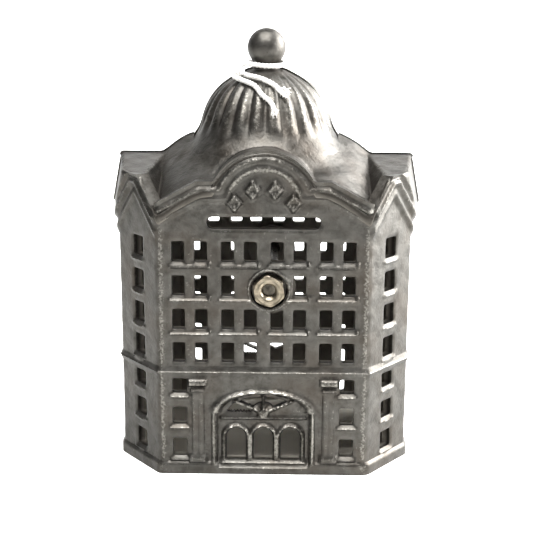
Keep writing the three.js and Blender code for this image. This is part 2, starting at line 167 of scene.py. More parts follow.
def new_material(name):
    """An empty node material, with its tree and its output node."""
    material = bpy.data.materials.new(name)
    material.use_nodes = True
    tree = material.node_tree
    tree.nodes.clear()
    return material, tree, add_node(tree, "ShaderNodeOutputMaterial")


def ramp(tree, factor, stops):
    """A colour ramp through (place, hex or grey) stops."""
    node = add_node(tree, "ShaderNodeValToRGB", n0=factor)
    elements = node.color_ramp.elements
    while len(elements) < len(stops):
        elements.new(0.5)
    for element, (place, value) in zip(elements, stops):
        element.position = place
        element.color = colour(value) if isinstance(value, str) else (value, value, value, 1)
    return node.outputs[0]


print("middle grey in linear light is", round(colour("808080")[0], 3))

# %% [markdown]
# ## Cast iron, handled for a century
# Grey iron poured in sand, never painted, or long since worn bare. Its grain is that of the
# sand, about 0.3 mm. The hollows keep a brown black skin of oxide and old polish; hands have
# rubbed the raised edges bright. The attribute for wear and painted light on each piece says how
# far a point stands out from its surroundings, so the shader knows ridges from hollows: 1 is
# rubbed, 0.5 is plain, 0 is a dirty corner. It is lowered further to paint shade into the gable
# gutters of the roof and onto the top edge of each wall's back. Inside the bank it is -1 for the
# raw casting, and -2 for the floor, which is painted pale as a lit floor.
# A metallic shader with a dark base colour is right for such a skin: it has no diffuse colour
# of its own, and it mirrors the room in a wide, dull way. Metal keeps the default IOR.

# %% Cast iron
def blend_colour(tree, factor, first, second):
    """A colour mix: first where factor is 0, second where it is 1."""
    node = add_node(tree, "ShaderNodeMix", {"data_type": "RGBA"}, n0=factor)
    for index, value in ((6, first), (7, second)):
        if isinstance(value, str):
            node.inputs[index].default_value = colour(value)
        else:
            tree.links.new(value, node.inputs[index])
    return node.outputs[2]


def arithmetic(tree, operation, *values):
    """One step of arithmetic on numbers or sockets."""
    inputs = {f"n{i}": value for i, value in enumerate(values)}
    return add_node(tree, "ShaderNodeMath", {"operation": operation}, **inputs).outputs[0]


def cast_iron_material():
    """Worn grey iron: dark metal, brown in its hollows, bright on its rubbed edges, with painted shade and
    light.
    """
    material, tree, output = new_material("worn cast iron with painted light")
    place = add_node(tree, "ShaderNodeTexCoord").outputs["Object"]
    wear_and_painted_light = add_node(tree, "ShaderNodeAttribute", {"attribute_name": "wear_and_painted_light"}).outputs["Fac"]
    # Blotches of handling 12 mm across, mottling of 2.5 mm, and sand grain. The real grain is
    # 0.3 mm, which is too fine to show, so it is drawn at about 0.7 mm.
    blotch = add_node(tree, "ShaderNodeTexNoise", Vector=place, Scale=85.0, Detail=3.0).outputs["Fac"]
    mottle = add_node(tree, "ShaderNodeTexNoise", Vector=place, Scale=400.0, Detail=3.0).outputs["Fac"]
    grain = add_node(tree, "ShaderNodeTexNoise", Vector=place, Scale=1500.0, Detail=2.0,
                     Roughness=0.6).outputs["Fac"]
    skin = ramp(tree, mottle, [(0.32, "403e3a"), (0.68, "575551")])
    browned = blend_colour(tree, ramp(tree, blotch, [(0.45, 0.0), (0.75, 0.55)]), skin, "473f37")
    # Wear is broken up by the grain, so a rubbed edge glitters instead of being outlined.
    broken = arithmetic(tree, "ADD", wear_and_painted_light, arithmetic(tree, "MULTIPLY_ADD", grain, 0.7, -0.35))
    bare = ramp(tree, broken, [(0.66, 0.0), (1.0, 0.9)])
    # Hollows take the dark brown oxide colour. Where the roof's gutters and the top of each wall's back are
    # lowered on purpose, the same colour is painted shade.
    hollow_and_shade = ramp(tree, broken, [(0.08, 1.0), (0.44, 0.0)])
    worn = blend_colour(tree, bare, browned, "9f9c94")
    dirty_and_shaded = blend_colour(tree, hollow_and_shade, worn, "33302c")
    # Inside, the raw casting was never handled. The floor is painted a pale colour that stands for lit
    # floor, and the inside walls turn part way to it towards the bottom.
    inside = ramp(tree, arithmetic(tree, "ADD", wear_and_painted_light, 1.0), [(0.1, 1.0), (0.9, 0.0)])
    raw = ramp(tree, blotch, [(0.35, "5b564e"), (0.65, "736e66")])
    painted_floor_light = ramp(tree, arithmetic(tree, "ADD", wear_and_painted_light, 2.0), [(0.1, 1.0), (0.9, 0.0)])
    final = blend_colour(tree, inside, dirty_and_shaded, blend_colour(tree, painted_floor_light, raw, "b3aea3"))
    rough = arithmetic(tree, "MULTIPLY_ADD", mottle, 0.3, 0.24)
    rough = arithmetic(tree, "MULTIPLY_ADD", bare, -0.08, rough)
    rough = arithmetic(tree, "MULTIPLY_ADD", hollow_and_shade, 0.18, rough)
    rough = arithmetic(tree, "MULTIPLY_ADD", inside, 0.3, rough)
    metal = arithmetic(tree, "MULTIPLY_ADD", inside, -0.8, 0.92)
    height = arithmetic(tree, "MULTIPLY_ADD", grain, 0.4, mottle)
    bump = add_node(tree, "ShaderNodeBump", Strength=0.6, Distance=0.00025, Height=height)
    shader = add_node(tree, "ShaderNodeBsdfPrincipled", Base_Color=final, Metallic=metal,
                      Roughness=rough, Normal=bump.outputs[0])
    tree.links.new(shader.outputs[0], output.inputs[0])
    return material


cast_iron = cast_iron_material()
print("material", cast_iron.name)

# %% [markdown]
# ## Plan of the walls
# Half of the building is one wall bent round eight-sided corners. Its plan is a line that runs
# straight, turns by the corner angle over about 2 mm, and runs straight again. Giving the line's
# heading as a smooth function of the distance along it, then adding up the small steps, gives
# round corners for free, and every wall feature can be drawn on one flat sheet of distance
# along the wall against height.

# %% Plan line
half_width, half_depth, facade_half, corner_depth = 38.2, 26.2, 26.9, 14.3
wall_thickness, seam_gap = 2.5, 0.15
corner_run = half_width - facade_half
corner_length = math.hypot(corner_run, corner_depth)
corner_angle = math.atan2(corner_depth, corner_run)
side_start = facade_half + corner_length
seam_end = side_start + half_depth - corner_depth - seam_gap
turn = 0.9


def plan_line(step=0.05):
    """Points and outward normals along half the plan, by adding up steps of a turning heading."""
    along = np.arange(0, seam_end + step, step)
    heading = corner_angle * smoothstep(along, facade_half - turn, facade_half + turn)
    second_turn = smoothstep(along, side_start - turn, side_start + turn)
    heading = heading + (math.pi / 2 - corner_angle) * second_turn
    x = np.concatenate([[0], np.cumsum(np.cos(heading[:-1]) * step)])
    y = np.concatenate([[0], np.cumsum(np.sin(heading[:-1]) * step)]) - half_depth
    return along, x, y, np.sin(heading), -np.cos(heading)


plan = plan_line()
print("plan line ends", round(float(plan[1][-1]), 2), round(float(plan[2][-1]), 2))


def on_plan(s, out):
    """Place in plan of a point s along the wall and out from its face, for either sign of s."""
    along, x, y, nx, ny = plan
    a = np.abs(s)
    px, py = np.interp(a, along, x), np.interp(a, along, y)
    ux, uy = np.interp(a, along, nx), np.interp(a, along, ny)
    return np.sign(s) * (px + ux * out), py + uy * out

# %% [markdown]
# ## Cutting a sheet
# Windows, doors and the coin slot are openings in the sheet. Each is given by its distance: how
# far a point is from the edge of the opening, negative inside. Points of the grid that lie close
# to an edge are moved onto it, the faces inside are left out, and faces that an edge crosses
# corner to corner are split. A boolean would do it too, but this keeps an even grid that shades
# cleanly. The back of the sheet is the same grid moved inwards, and a rim joins the two, so the
# wall is one closed casting with real thickness.

# %% Cutting and closing a sheet
def box_distance(u, v, cu, cv, hu, hv, r=0.0):
    """Distance to a rectangle about (cu, cv) with half sizes hu, hv and corners of radius r."""
    du, dv = np.abs(u - cu) - hu + r, np.abs(v - cv) - hv + r
    return np.hypot(np.maximum(du, 0), np.maximum(dv, 0)) + np.minimum(np.maximum(du, dv), 0) - r


def line_distance(u, v, points):
    """Distance to a chain of straight pieces through the points."""
    best = np.full(np.shape(u), 1e9)
    for (au, av), (bu, bv) in zip(points[:-1], points[1:]):
        t = ((u - au) * (bu - au) + (v - av) * (bv - av)) / ((bu - au) ** 2 + (bv - av) ** 2)
        t = np.clip(t, 0, 1)
        best = np.minimum(best, np.hypot(u - au - t * (bu - au), v - av - t * (bv - av)))
    return best


def snapped(u, v, distance, reach):
    """Moves grid points nearer than reach to the edge onto it, along the slope of the distance."""
    for _ in range(2):
        d, e = distance(u, v), 1e-3
        gu = (distance(u + e, v) - d) / e
        gv = (distance(u, v + e) - d) / e
        size = np.maximum(gu * gu + gv * gv, 0.25)
        near = np.abs(d) < reach
        u = np.where(near, u - gu * d / size, u)
        v = np.where(near, v - gv * d / size, v)
    return u, v


def kept_faces(u, v, distance):
    """Quads outside the opening, and the outside halves of quads cut corner to corner."""
    rows, columns = u.shape
    quads = grid_faces(rows, columns)
    fu, fv = u.ravel(), v.ravel()
    d = distance(fu, fv)
    corner = d[quads]
    mean = distance(fu[quads].mean(1), fv[quads].mean(1))
    mixed = (corner.min(1) < -0.02) & (corner.max(1) > 0.02)
    whole = quads[~mixed & (mean > 0)]
    cut = quads[mixed]
    first = np.abs(d[cut[:, 0]]) + np.abs(d[cut[:, 2]]) <= np.abs(d[cut[:, 1]]) + np.abs(d[cut[:, 3]])
    a, b, c, e = cut.T
    one = np.where(first[:, None], np.stack([a, b, c], 1), np.stack([a, b, e], 1))
    two = np.where(first[:, None], np.stack([a, c, e], 1), np.stack([b, c, e], 1))
    halves = np.concatenate([one, two])
    middle = distance(fu[halves].mean(1), fv[halves].mean(1))
    return whole, halves[middle > 0]


def closed_sheet(front, back, quads, triangles):
    """Joins a front and a back grid of points into one closed body, with a rim at each free edge."""
    count = len(front)
    edges = np.concatenate([quads[:, [0, 1]], quads[:, [1, 2]], quads[:, [2, 3]], quads[:, [3, 0]],
                            triangles[:, [0, 1]], triangles[:, [1, 2]], triangles[:, [2, 0]]])
    forward = edges[:, 0].astype(np.int64) * count + edges[:, 1]
    reverse = edges[:, 1].astype(np.int64) * count + edges[:, 0]
    free = edges[~np.isin(forward, reverse)]
    rim = np.stack([free[:, 1], free[:, 0], free[:, 0] + count, free[:, 1] + count], 1)
    points = np.concatenate([front, back])
    all_quads = np.concatenate([quads, quads[:, ::-1] + count, rim])
    all_triangles = np.concatenate([triangles, triangles[:, ::-1] + count])
    used = np.unique(np.concatenate([all_quads.ravel(), all_triangles.ravel()]))
    number = np.full(len(points), -1)
    number[used] = np.arange(len(used))
    return points[used], number[all_quads], number[all_triangles], used


print("from (4, 5) to the corner of a 2 x 2 box:", float(box_distance(4, 5, 0, 0, 1, 1)))

# %% [markdown]
# ## Openings of a half
# Eight columns of windows in four rows on the facade, one column on each slanted wall, smaller
# ones beside the doors, three round-headed doors, and a fanlight over them. The slot for coins
# is cut in the front half only.

# %% Openings
pairs = (-1.5, -0.5, 0.5, 1.5)
top_row, row_pitch, window_height, window_half = 62.5, 8.85, 5.3, 1.67
pair_pitch, half_spacing = 12.56, 2.89
window_rows = [(top_row - row_pitch * i - window_height, top_row - row_pitch * i) for i in range(4)]
window_columns = [pair * pair_pitch + side * half_spacing for pair in pairs for side in (-1, 1)]
bay_rows = [(22.2, 26.1), (13.6, 18.3), (4.8, 9.7)]
bay_centre, bay_half = window_columns[-1], 1.95
slant_centre = facade_half + corner_length / 2
slant_half = 1.45 / math.cos(corner_angle)
door_places, door_half, door_foot, door_spring = (-7.1, 0.0, 7.1), 2.5, 3.8, 9.9
fan_half, fan_foot, fan_rise, fan_squash = 10.6, 16.6, 4.8, 2.2
slot_centre, slot_half, slot_half_height = 67.25, 14.4, 1.55
bolt = (1.35, 50.0)
recess_radius, boss_radius = 4.75, 5.65


def wedge_distance(s, z, start, end):
    """Distance to a fanlight pane: inside the half ellipse, above the sill, between two spokes."""
    rise = z - fan_foot
    outer = (np.hypot(s / fan_half, rise / fan_rise) - 1) * fan_rise
    hub = 2.7 - np.hypot(s / 1.15, rise)
    reach = np.hypot(s, rise * fan_squash)
    angle = np.arctan2(rise * fan_squash, s)
    spokes = np.maximum(np.sin(start - angle), np.sin(angle - end)) * reach * 0.55 + 0.25
    return np.maximum(np.maximum(outer + 0.5, hub), spokes)


def opening_distance(s, z, slotted):
    """The least distance to any opening of a half: the union of all its windows and doors."""
    a = np.abs(s)
    d = np.full(np.shape(s), 1e3)
    for low, high in window_rows:
        middle, half = (low + high) / 2, (high - low) / 2
        for x in window_columns:
            # The boss takes the place of any window that it would touch.
            dx = max(abs(x - bolt[0]) - window_half, 0)
            dz = max(low - bolt[1], bolt[1] - high, 0)
            if math.hypot(dx, dz) >= recess_radius:
                d = np.minimum(d, box_distance(s, z, x, middle, window_half, half, 0.45))
    for low, high in window_rows + bay_rows:
        middle, half = (low + high) / 2, (high - low) / 2
        d = np.minimum(d, box_distance(a, z, slant_centre, middle, slant_half, half, 0.5))
    for low, high in bay_rows:
        middle, half = (low + high) / 2, (high - low) / 2
        d = np.minimum(d, box_distance(a, z, bay_centre, middle, bay_half, half, 0.5))
    for x in door_places:
        body = np.maximum(np.abs(s - x) - door_half, door_foot - z)
        head = np.hypot(s - x, z - door_spring) - door_half
        d = np.minimum(d, np.where(z > door_spring, head, body))
    # The fanlight's right pane is filled with iron that ran past the pattern.
    for i in (1, 2, 3):
        d = np.minimum(d, wedge_distance(s, z, math.pi * i / 4, math.pi * (i + 1) / 4))
    d = np.minimum(d, np.hypot(s - bolt[0], z - bolt[1]) - recess_radius)
    if slotted:
        d = np.minimum(d, box_distance(s, z, 0, slot_centre, slot_half, slot_half_height, 1.5))
    return d


print("window rows", [round(low, 2) for low, high in window_rows])

# %% [markdown]
# ## Top edge of the wall
# The facade ends in the cornice: it climbs from each corner, runs level, and goes over a round
# arch. Each slanted wall ends in a pointed gable. On the side walls the sheet carries on up the
# steep outer slope of the gable's roof.

# %% Cornice and gable lines
arch_radius, arch_centre, knee, corner_x, corner_z = 11.7, 71.6, 16.3, 28.3, 69.1
level_z = 75.6
strip_centre = 26.0
slope = (level_z - corner_z) / (corner_x - knee)


def cornice_lift(s, z):
    """Height over the cornice's line, square to it: the greater of slope and level, or the arch."""
    a = np.abs(s)
    sloping = (z - level_z + slope * (a - knee)) / math.hypot(1, slope)
    low = np.maximum(z - level_z, sloping)
    arch = np.hypot(s, z - arch_centre) - arch_radius
    blend = 0.6
    h = np.clip(0.5 + 0.5 * (low - arch) / blend, 0, 1)
    return low * (1 - h) + arch * h - blend * h * (1 - h)


gable_points = [(-1.2, 69.6), (7.4, 78.45), (11.4, 78.6), (19.8, 69.0)]
gable_end, eaves_lean, slope_lean = facade_half + 11.4, 0.155, 0.19


def gable_lift(a, z):
    """Height over the gable's rakes, square to them, from the line's straight pieces."""
    along = a - facade_half
    (a0, z0), (a1, z1), (a2, z2), (a3, z3) = gable_points
    rise = (z1 - z0) / (a1 - a0)
    fall = (z3 - z2) / (a3 - a2)
    left = (z - z0 - rise * (along - a0)) / math.hypot(1, rise)
    right = (z - z2 - fall * (along - a2)) / math.hypot(1, fall)
    return np.maximum(np.maximum(left, right), z - z1 - 0.1)


def outer_slope_out(s, z):
    """How far out of the wall the steep outer slope of a gable's roof lies, at this height."""
    along, x, y, nx, ny = plan
    a = np.abs(s)
    px, py = np.interp(a, along, x), np.interp(a, along, y)
    ux, uy = np.interp(a, along, nx), np.interp(a, along, ny)
    face = 41.0 + eaves_lean * py - slope_lean * (z - 70.0)
    return (face - px) / np.maximum(ux - eaves_lean * uy, 0.3)


def shoulder_height(s):
    """Height where the steep outer slope meets the flat top of a gable, along the wall."""
    return np.interp(np.abs(s), [gable_end, side_start, seam_end], [78.6, 79.3, 80.4])


def top_distance(s, z):
    """Negative above the wall's top edge: over the cornice, the gable or the shoulder."""
    a = np.abs(s)
    front = 2.3 - cornice_lift(s, z)
    gable = -gable_lift(a, z)
    shoulder = shoulder_height(s) - z
    beside = np.where(a > gable_end, shoulder, gable)
    valley = np.where(a > strip_centre, np.maximum(front, gable), front)
    return np.where(a < facade_half + 0.2, valley, beside)


print("the cornice climbs", round(slope, 3), "mm per mm")

# %% [markdown]
# ## Relief of the walls
# What stands out of the wall: plinth, belt, sills, corner strips, the double moulding of the
# cornice and of the gables, the portal with its pilasters and doors, and the boss for the nut.
# Each is a soft plateau: its height times a smooth step of its distance, as a wooden pattern
# with sanded edges leaves it in the sand. The greatest of them all is the surface.

# %% Relief
plinth_top, band_centre, bead_centre = 3.2, 28.1, 28.0
portal_spring, portal_half, portal_rise = 16.9, 13.0, 6.0
hoop_radius, transom_level, fan_hub = 3.2, 15.3, 16.8
pilaster = 17.1


def plateau(distance, proud, edge=0.45):
    """Proud inside the shape, falling smoothly to nothing over one edge width about its border."""
    return proud * (1 - smoothstep(distance, -edge, edge * 0.6))


def moulding(lift):
    """Height of the double moulding by distance from the cornice line, as a smooth profile."""
    across = [-4.2, -3.2, -2.7, -2.2, -1.7, -1.0, -0.5, 0.0, 0.45, 0.9, 1.3, 1.7, 2.1, 2.5, 3.0]
    out = [0.0, 0.1, 0.55, 0.85, 0.6, 0.45, 0.75, 1.35, 1.4, 0.9, 0.75, 0.95, 1.45, 1.55, 1.4]
    return np.interp(lift, across, out)


def portal_distance(s, z):
    """Distance to the portal's line: straight jambs below, half an ellipse above."""
    arch = (np.hypot(s / portal_half, (z - portal_spring) / portal_rise) - 1) * 7.0
    return np.where(z > portal_spring, arch, np.abs(s) - portal_half)


def door_relief(s, z):
    """Height over the sunk panel of what is in the portal, as a share of the panel's depth."""
    best = np.zeros(np.shape(s))
    for x in door_places:
        reach = np.where(z > door_spring, np.hypot(s - x, z - door_spring), np.abs(s - x))
        hoop = plateau(np.abs(reach - hoop_radius) - 0.5, 1.15, 0.65) * smoothstep(z, 2.4, 3.6)
        best = np.maximum(best, hoop)
    threshold = plateau(box_distance(s, z, 0, 3.2, 11.5, 0.7, 0.3), 0.8, 0.5)
    transom = plateau(box_distance(s, z, 0, transom_level, 11.2, 0.35, 0.3), 1.05, 0.45)
    best = np.maximum(np.maximum(best, threshold), transom)
    for share in (0.25, 0.5, 0.75):
        angle = math.pi * share
        tip = (fan_half * math.cos(angle), 16.4 + 5.0 * math.sin(angle))
        spoke = plateau(line_distance(s, z, [(0, fan_hub), tip]) - 0.5, 1.1, 0.5)
        best = np.maximum(best, spoke)
    best = np.maximum(best, plateau(np.hypot(s, (z - fan_foot) * 1.2) - 1.5, 1.1, 0.5))
    casting_flash = 0.5 + 0.3 * np.sin(s * 3.1 + z) * np.sin(z * 4.3 - s)
    rough = smoothstep(s, 3.5, 5.0) * smoothstep(z, 16.4, 17.2) * casting_flash
    return np.maximum(best, 0.6 * rough)


def wall_relief(s, z, slotted):
    """The greatest of all the raised features at a point of the wall, in millimetres."""
    a = np.abs(s)
    wobble = 0.05 * np.sin(s * 0.9 + 1.3 * np.sin(z * 0.21)) * np.sin(z * 0.77 + 0.4)
    d = np.zeros(np.shape(s))

    def raise_to(value):
        nonlocal d
        k = 0.12
        h = np.clip(0.5 + 0.5 * (value - d) / k, 0, 1)
        d = d * (1 - h) + value * h + k * h * (1 - h)

    def bar(u, v, cu, cv, hu, hv, r, proud, edge=0.45):
        raise_to(plateau(box_distance(u, v, cu, cv, hu, hv, r), proud, edge))

    # Plinth, and the belt: a flat band with a round bead on it.
    raise_to(plateau(z - plinth_top, 0.8, 0.55))
    raise_to(plateau(np.abs(z - band_centre) - 1.25, 0.45, 0.5))
    raise_to(plateau(np.abs(z - bead_centre) - 0.45, 0.85, 0.45))
    # A sill under each pair of windows, with a small lump at its right end, then the short
    # sills beside the doors and the bowed ones on the slanted walls.
    for pair in pairs:
        x = pair * pair_pitch
        for low, _ in window_rows[:3]:
            bar(s, z, x, low - 1.25, 5.45, 0.42, 0.4, 0.7)
            bar(s, z, x + 5.2, low - 0.6, 0.4, 0.7, 0.35, 0.85, 0.4)
    for low, _ in bay_rows:
        bar(a, z, bay_centre, low - 0.9, 2.9, 0.5, 0.4, 0.65)
    for low, _ in window_rows + bay_rows:
        bow = 0.35 * ((a - slant_centre) / 3.0) ** 2
        bar(a, z - bow, slant_centre, low - 1.15, 3.4, 0.42, 0.4, 0.5, 0.5)
    # The flat strip up each corner of the facade.
    strip_ends = smoothstep(z, 0, 2) * smoothstep(-z, -69, -67.5)
    raise_to(plateau(np.abs(a - strip_centre) - 0.75, 0.42, 0.4) * strip_ends)
    # The cornice on the facade, and the gable's two mouldings on the slanted wall.
    on_front = 1 - smoothstep(a, facade_half - 0.6, facade_half + 0.9)
    raise_to(moulding(cornice_lift(s, z)) * on_front)
    on_gable = smoothstep(a, facade_half - 0.6, facade_half + 0.8)
    on_gable = on_gable * smoothstep(-a, -side_start - 3, -side_start - 1)
    raise_to(moulding(gable_lift(a, z) * 0.95 + 2.1) * on_gable)
    # The portal's arched rib, and the panel sunk inside it.
    over = portal_distance(s, z)
    raise_to(plateau(np.abs(over + 0.15) - 0.6, 1.15, 0.75) * smoothstep(z, 1.6, 3.4))
    # Pilasters: shaft with a flute down it, two-step cap and base.
    shaft = plateau(box_distance(a, z, pilaster, 12.8, 1.6, 9.8, 0.3), 0.75)
    flute = plateau(box_distance(a, z, pilaster, 13.2, 0.35, 7.5, 0.3), 0.3, 0.35)
    raise_to(shaft - flute)
    bar(a, z, pilaster, 22.9, 1.9, 0.5, 0.3, 1.0, 0.4)
    bar(a, z, pilaster, 25.2, 2.5, 1.0, 0.4, 1.2)
    bar(a, z, pilaster, 4.2, 2.3, 1.1, 0.3, 1.1)
    if slotted:
        # Four lozenges on an arc over the slot, each with a hollow middle.
        for place in pairs:
            angle = place * 0.62
            x, level = 9.2 * math.sin(angle), 67.0 + 9.0 * math.cos(angle)
            lozenge = (np.abs(s - x) / 0.8 + np.abs(z - level)) * 0.62 - 1.65
            raise_to(plateau(lozenge, 1.2, 0.42) - plateau(lozenge + 0.95, 0.6, 0.4))
    ring = np.hypot(s - bolt[0], z - bolt[1])
    raise_to(plateau(ring - boss_radius + 0.3, 0.6, 0.4))
    sunk = 0.95 * (1 - smoothstep(over, -1.3, -0.75)) * smoothstep(z, 1.7, 2.6)
    return d + wobble + (door_relief(s, z) - 1) * sunk


def wall_out(s, z, slotted):
    """The wall's surface: its relief, stepping out at the eaves, cut by the roof's outer slope."""
    a = np.abs(s)
    d = wall_relief(s, z, slotted)
    slope_out = outer_slope_out(s, z)
    eaves = smoothstep(a, side_start - 2.0, side_start + 1.5)
    soffit = eaves * smoothstep(z, 65.3, 68.6)
    d = d * (1 - soffit) + soffit * np.maximum(slope_out, d)
    beyond = a > facade_half + 9.5
    k = 0.35
    h = np.clip(0.5 + 0.5 * (slope_out - d) / k, 0, 1)
    cut = slope_out * (1 - h) + d * h - k * h * (1 - h)
    return np.where(beyond, np.minimum(cut, np.maximum(d, slope_out)), d)


print("the cornice stands out", float(moulding(2.5)), "mm")

# %% [markdown]
# ## Wear
# Hands reach what stands out. The wear of a point is its height above the average height of the
# surface around it, so the relief is blurred by adding up neighbours and taken away from
# itself. Half is the plain face, one is a rubbed ridge and zero is a corner full of dirt.

# %% Wear of a grid
def blurred(field, radius):
    """Mean of the field over a square window, along each axis in turn, by running sums."""
    for axis in (0, 1):
        size = 2 * radius + 1
        pad = [(0, 0), (0, 0)]
        pad[axis] = (radius + 1, radius)
        total = np.cumsum(np.pad(field, pad, mode="edge"), axis=axis)
        high = np.take(total, range(size, total.shape[axis]), axis=axis)
        low = np.take(total, range(0, total.shape[axis] - size), axis=axis)
        field = (high - low) / size
    return field


def grid_wear(height, opening, scale=0.7):
    """Half plus the height over its blurred self, with the lips of openings rubbed too."""
    field = height - 0.35 * (opening < 0)
    rise = height - blurred(blurred(field, 3), 3)
    return np.clip(0.5 + scale * rise, 0, 1)


def rubbed(s, z):
    """Extra wear where a rough corner strip, the portal or the arch has been rubbed bright."""
    a = np.abs(s)
    strip = np.exp(-((a - 26.2) / 0.9) ** 2) * smoothstep(-z, -68.5, -66.0)
    portal = np.exp(-((portal_distance(s, z) + 1.8) / 1.6) ** 2) * smoothstep(z, 1.5, 4.0)
    arch = np.exp(-((np.hypot(s, z - arch_centre) - 9.0) / 1.2) ** 2) * smoothstep(z, 73.0, 76.0)
    boss = np.exp(-((np.hypot(s - bolt[0], z - bolt[1]) - boss_radius) / 0.8) ** 2)
    return 0.16 * strip + 0.1 * portal + 0.22 * arch + 0.12 * boss


def store_wear_and_light(piece, values):
    """Stores the wear and painted light as a number on each point, for the material to read."""
    layer = piece.data.attributes.new("wear_and_painted_light", "FLOAT", "POINT")
    layer.data.foreach_set("value", np.asarray(values, np.float32))


def half_piece(name, side, points, quads, triangles, wear_and_painted_light, smooth=40):
    """A piece of one casting: worked out for the front half, and mirrored in the seam if rear."""
    body = "front"
    if side > 0:
        body = "rear"
        points = points * [1, -1, 1]
        quads, triangles = quads[:, ::-1], triangles[:, ::-1]
    piece = mesh_piece(name, points, [quads, triangles], body, cast_iron,
                       [f"{body}_shell"], smooth)
    store_wear_and_light(piece, wear_and_painted_light)
    return piece


print("wear of a flat face:", grid_wear(np.zeros((9, 9)), np.ones((9, 9)))[4, 4])

# %% [markdown]
# ## The walls of both halves
# The rear half was cast from the same pattern but came out a little bigger, so its edge shows
# as a thin dark line all round the front half. It has no slot.

# %% Walls
sheet_height, rear_growth = 86.4, 0.4


def wall_lines():
    """Even grid lines about 0.42 mm apart, in s along the wall and z up it."""
    s = np.linspace(-seam_end, seam_end, 269)
    z = np.linspace(0.0, sheet_height, 204)
    return np.meshgrid(s, z, indexing="ij")


def wall_piece(name, side, grow, slotted):
    """One half's walls: plan place plus relief outwards, and the wall thickness inwards."""
    s, z = wall_lines()

    def edge(u, v):
        return np.minimum(opening_distance(u, v, slotted), top_distance(u, v))

    su, sz = snapped(s, z, edge, 0.24)
    at_seam, at_foot = np.abs(s) > seam_end - 0.1, z < 0.1
    su, sz = np.where(at_seam | at_foot, s, su), np.where(at_foot, z, sz)
    relief = wall_out(su, sz, slotted)
    holes = opening_distance(su, sz, slotted)
    lip = np.clip(1 - holes / 0.7, 0, 1) ** 2 * 0.28
    tops = np.clip(1 - top_distance(su, sz) / 0.8, 0, 1) ** 2 * 0.35
    out = relief - lip - tops
    quads, triangles = kept_faces(su, sz, edge)
    lift = sz * (1 + grow / 90)
    x, y = on_plan(su, out + grow)
    front = np.stack([x, y, lift], -1).reshape(-1, 3)
    x, y = on_plan(su, grow - wall_thickness + np.maximum(relief - 1.6, 0))
    back = np.stack([x, y, lift], -1).reshape(-1, 3)
    front[:, 1] = np.minimum(front[:, 1], -seam_gap)
    back[:, 1] = np.minimum(back[:, 1], -seam_gap)
    points, quads, triangles, used = closed_sheet(front, back, quads, triangles)
    wear_and_painted_light = np.clip(grid_wear(out, edge(su, sz), 0.42) + rubbed(su, sz), 0, 1).ravel()
    # Inside, the wall is raw casting that turns part way to the floor's pale painted light towards the
    # bottom; along the top edge its back takes the dark hollow colour as painted shade.
    painted_floor_light = 0.5 * (1 - smoothstep(sz.ravel(), 3.0, 24.0))
    inner_raw_and_painted_light = np.where(top_distance(su, sz).ravel() < 1.2, 0.15, -1.0 - painted_floor_light)
    wear_and_painted_light = np.concatenate([wear_and_painted_light, inner_raw_and_painted_light])[used]
    return half_piece(name, side, points, quads, triangles, wear_and_painted_light)


wall_piece("front_walls", -1, 0.0, True)
wall_piece("rear_walls", 1, rear_growth, False)

# %% [markdown]
# ## The roof
# Behind the cornice, the roof is a few sloping planes: the middle rises to the dome, the sides
# fall to the corners, and each gable has a steep inner slope and a narrow flat top. A vault
# runs back from the round arch. The roof is a height over the plan: the lesser of two planes
# makes a hip, the greater of two makes a valley, and a smooth greatest gives the fillet that a
# pattern maker puts where the dome meets the roof.

# %% Roof
dome_profile = np.array([
    (27.0, 76.9), (25.5, 78.6), (24, 80), (22.2, 82.1), (20.6, 84), (19.4, 85.5), (18.4, 87), (17.6, 88.6),
    (17.0, 90.2), (16.4, 91.9), (15.6, 93.8), (14.5, 95.9), (12.9, 98.1), (11.2, 99.7), (9.2, 101.1),
    (7.2, 102.2), (5.6, 103.0), (4.9, 103.4), (3.6, 103.75),
])

# Each plane: its height at the facade's line and corner, and its rise per millimetre.
middle_front, middle_rise = 77.2, 0.391
side_front, side_fall, side_rise = 70.2, 0.6745, 0.4518
inner_rise, inner_back = 1.307, 0.414
vault_radius, dome_opening, roof_thickness = 14.0, 19.3, 3.0


def smooth_greater(a, b, k):
    """The greater of two heights, with a fillet of about k where they cross."""
    h = np.clip(0.5 + 0.5 * (a - b) / k, 0, 1)
    return b * (1 - h) + a * h + k * h * (1 - h) * 0.5


def roof_height(x, y):
    """Height of the roof: hips, gables, vault and the skirt of the dome, joined smoothly."""
    a = np.abs(x)
    back = y + half_depth
    middle = middle_front + middle_rise * back
    side = side_front - side_fall * (a - facade_half) + side_rise * back
    hip = -smooth_greater(-middle, -side, 5.0)
    inner = side_front + inner_rise * (a - facade_half) + inner_back * back
    flat = 78.35 + 0.158 * (y + 19.0)
    gable = -smooth_greater(-inner, -flat, 0.7)
    height = smooth_greater(hip, gable, 0.9)
    crown = np.sqrt(np.maximum(vault_radius ** 2 - x * x, 0.01))
    vault = np.where(a < vault_radius, arch_centre + crown, 0)
    vault = vault - 8.0 * smoothstep(y, -20.0, -12.0)
    height = smooth_greater(height, vault, 1.8)
    reach = np.hypot(x, y)
    skirt = np.interp(reach, dome_profile[::-1, 0], dome_profile[::-1, 1])
    skirt = skirt - 1.3 * np.maximum(reach - 27, 0)
    return smooth_greater(height, skirt - 0.12, 1.6)


def roof_edge(x, y):
    """Distance outside the roof's outline, or inside the dome, where the roof is left open."""
    a = np.abs(x)
    front = -half_depth - 1.15 - y
    nx, ny = math.sin(corner_angle), -math.cos(corner_angle)
    slanted = (a - facade_half) * nx + (y + half_depth) * ny - 1.05
    outer = (a - (39.15 + eaves_lean * y)) / math.hypot(1, eaves_lean)
    inside = dome_opening - np.hypot(x, y)
    return np.maximum(np.maximum(np.maximum(front, slanted), outer), inside)


